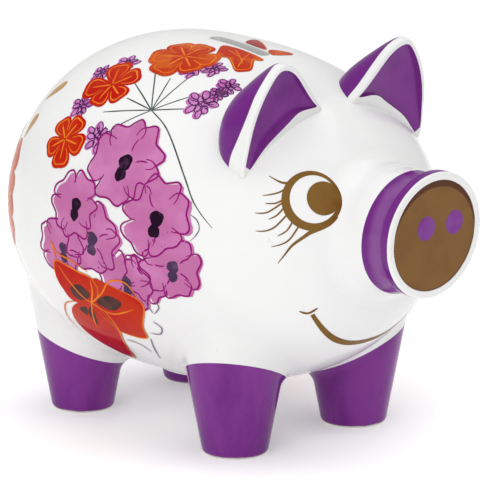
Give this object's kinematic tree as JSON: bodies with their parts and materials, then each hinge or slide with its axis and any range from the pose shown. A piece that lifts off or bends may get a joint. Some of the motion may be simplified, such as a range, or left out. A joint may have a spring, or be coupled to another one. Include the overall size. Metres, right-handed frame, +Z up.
{
  "type": "piggy bank",
  "caption": "Hollow glazed porcelain pig with ears, snout, curled tail and short legs, a coin slot along its back and a twist-lock closure in its belly.",
  "frame": {"origin": "on the floor under the middle of the bounding box", "axes": "+X forwards, out of the snout; +Y to the pig's left; +Z up"},
  "size_m": [0.2036, 0.1394, 0.1532],
  "materials": {
    "white_glaze": "glossy",
    "purple_glaze": "glossy",
    "white_plastic": "satin",
    "grey_plastic": "satin",
    "seal_rubber": "matte",
    "steel": "satin"
  },
  "bodies": {
    "porcelain": {"body_shell": "white_glaze", "snout": "purple_glaze", "ear_left": "purple_glaze", "ear_right": "purple_glaze", "leg_front_left": "purple_glaze", "leg_front_right": "purple_glaze", "leg_rear_left": "purple_glaze", "leg_rear_right": "purple_glaze", "tail": "purple_glaze"},
    "closure": {"closure_cup": "white_plastic", "sealing_ring": "seal_rubber", "cover_plate": "white_plastic", "cover_screws": "steel"},
    "lock": {"lock_barrel": "white_plastic", "cam_disc": "grey_plastic", "retaining_clip": "steel"},
    "tongue_front": {"locking_tongue_front": "grey_plastic"},
    "tongue_rear": {"locking_tongue_rear": "grey_plastic"}
  },
  "joints": [
    {"name": "closure_pull", "type": "slide", "parent": "porcelain", "child": "closure", "axis": [0, 0, -1], "range_m": [0, 0.0155]},
    {"name": "lock_turn", "type": "hinge", "parent": "closure", "child": "lock", "pos_m": [-0.018, 0, 0.02], "axis": [0, 0, 1], "range_deg": [0, 90]},
    {"name": "tongue_front_slide", "type": "slide", "parent": "closure", "child": "tongue_front", "axis": [1, 0, 0], "range_m": [0, 0.004]},
    {"name": "tongue_rear_slide", "type": "slide", "parent": "closure", "child": "tongue_rear", "axis": [-1, 0, 0], "range_m": [0, 0.004]}
  ],
  "couplings": [
    {"joint": "tongue_front_slide", "follows": "lock_turn", "m_per_rad": 0.0025465},
    {"joint": "tongue_rear_slide", "follows": "lock_turn", "m_per_rad": 0.0025465}
  ]
}
